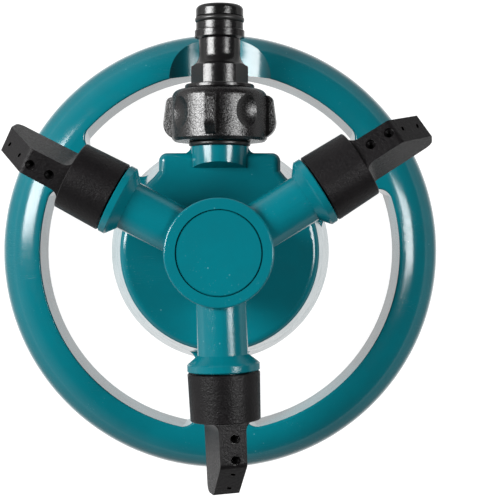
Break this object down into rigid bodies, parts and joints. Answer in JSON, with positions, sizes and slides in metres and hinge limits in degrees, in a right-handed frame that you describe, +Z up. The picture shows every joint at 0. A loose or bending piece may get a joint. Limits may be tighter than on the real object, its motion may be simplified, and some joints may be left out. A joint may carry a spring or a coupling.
{
  "type": "lawn sprinkler",
  "caption": "Rotary lawn sprinkler: spinning three-arm head with black nozzle ends on a teal ring base, fed by a quick-connect hose nipple.",
  "frame": {"origin": "on the ground plane, on the rotor's axis, at the centre of the ring base", "axes": "+Z up along the rotor's axis; +Y towards the hose inlet, along the nipple's axis; +X to the right seen from above with the inlet at the top"},
  "size_m": [0.1626, 0.1677, 0.0838],
  "materials": {
    "teal_abs": "glossy moulded ABS",
    "black_gloss": "glossy black with a fine moulded grain",
    "black_satin": "satin black with a fine grain",
    "rubber": "smooth black rubber",
    "white_acetal": "natural white acetal",
    "screw_steel": "zinc-plated steel"
  },
  "bodies": {
    "base": {"base_ring": "teal_abs", "neck_seal_ring": "rubber", "water_elbow": "black_gloss", "elbow_o_ring": "rubber", "spindle_gasket": "rubber", "elbow_screws": "screw_steel", "spindle": "white_acetal", "lower_thrust_washer": "white_acetal", "upper_thrust_washer": "white_acetal", "rotor_nut": "white_acetal"},
    "rotor": {"rotor_hub": "teal_abs", "hub_cap": "teal_abs", "rotor_seal": "rubber", "nozzle_o_ring_a": "rubber", "nozzle_o_ring_b": "rubber", "nozzle_o_ring_c": "rubber"},
    "nozzle_end_a": {"nozzle_a": "black_satin", "nozzle_jets_a": "black_gloss"},
    "nozzle_end_b": {"nozzle_b": "black_satin", "nozzle_jets_b": "black_gloss"},
    "nozzle_end_c": {"nozzle_c": "black_satin", "nozzle_jets_c": "black_gloss"},
    "hose_adapter": {"hose_nipple": "black_gloss", "nipple_o_ring": "rubber", "inlet_washer": "rubber", "filter_screen": "white_acetal"},
    "nut": {"coupling_nut": "black_gloss"}
  },
  "joints": [
    {"name": "rotor_spin", "type": "hinge", "parent": "base", "child": "rotor", "pos_m": [0, 0, 0.072], "axis": [0, 0, 1], "continuous": true},
    {"name": "adapter_slide", "type": "slide", "parent": "base", "child": "hose_adapter", "axis": [0, 1, 0], "range_m": [0, 0.0107]},
    {"name": "nut_turn", "type": "hinge", "parent": "hose_adapter", "child": "nut", "pos_m": [0, 0.048, 0.036], "axis": [0, 1, 0], "range_deg": [0, 2100]},
    {"name": "nozzle_a_swivel", "type": "hinge", "parent": "rotor", "child": "nozzle_end_a", "pos_m": [0.03888, 0.02458, 0.072], "axis": [0.8453, 0.5344, 0], "continuous": true},
    {"name": "nozzle_b_swivel", "type": "hinge", "parent": "rotor", "child": "nozzle_end_b", "pos_m": [-0.04073, 0.02138, 0.072], "axis": [-0.8854, 0.4648, 0], "continuous": true},
    {"name": "nozzle_c_swivel", "type": "hinge", "parent": "rotor", "child": "nozzle_end_c", "pos_m": [0.00185, -0.04596, 0.072], "axis": [0.0401, -0.9992, 0], "continuous": true}
  ],
  "couplings": [
    {"joint": "adapter_slide", "follows": "nut_turn", "m_per_rad": 0.00028871}
  ]
}
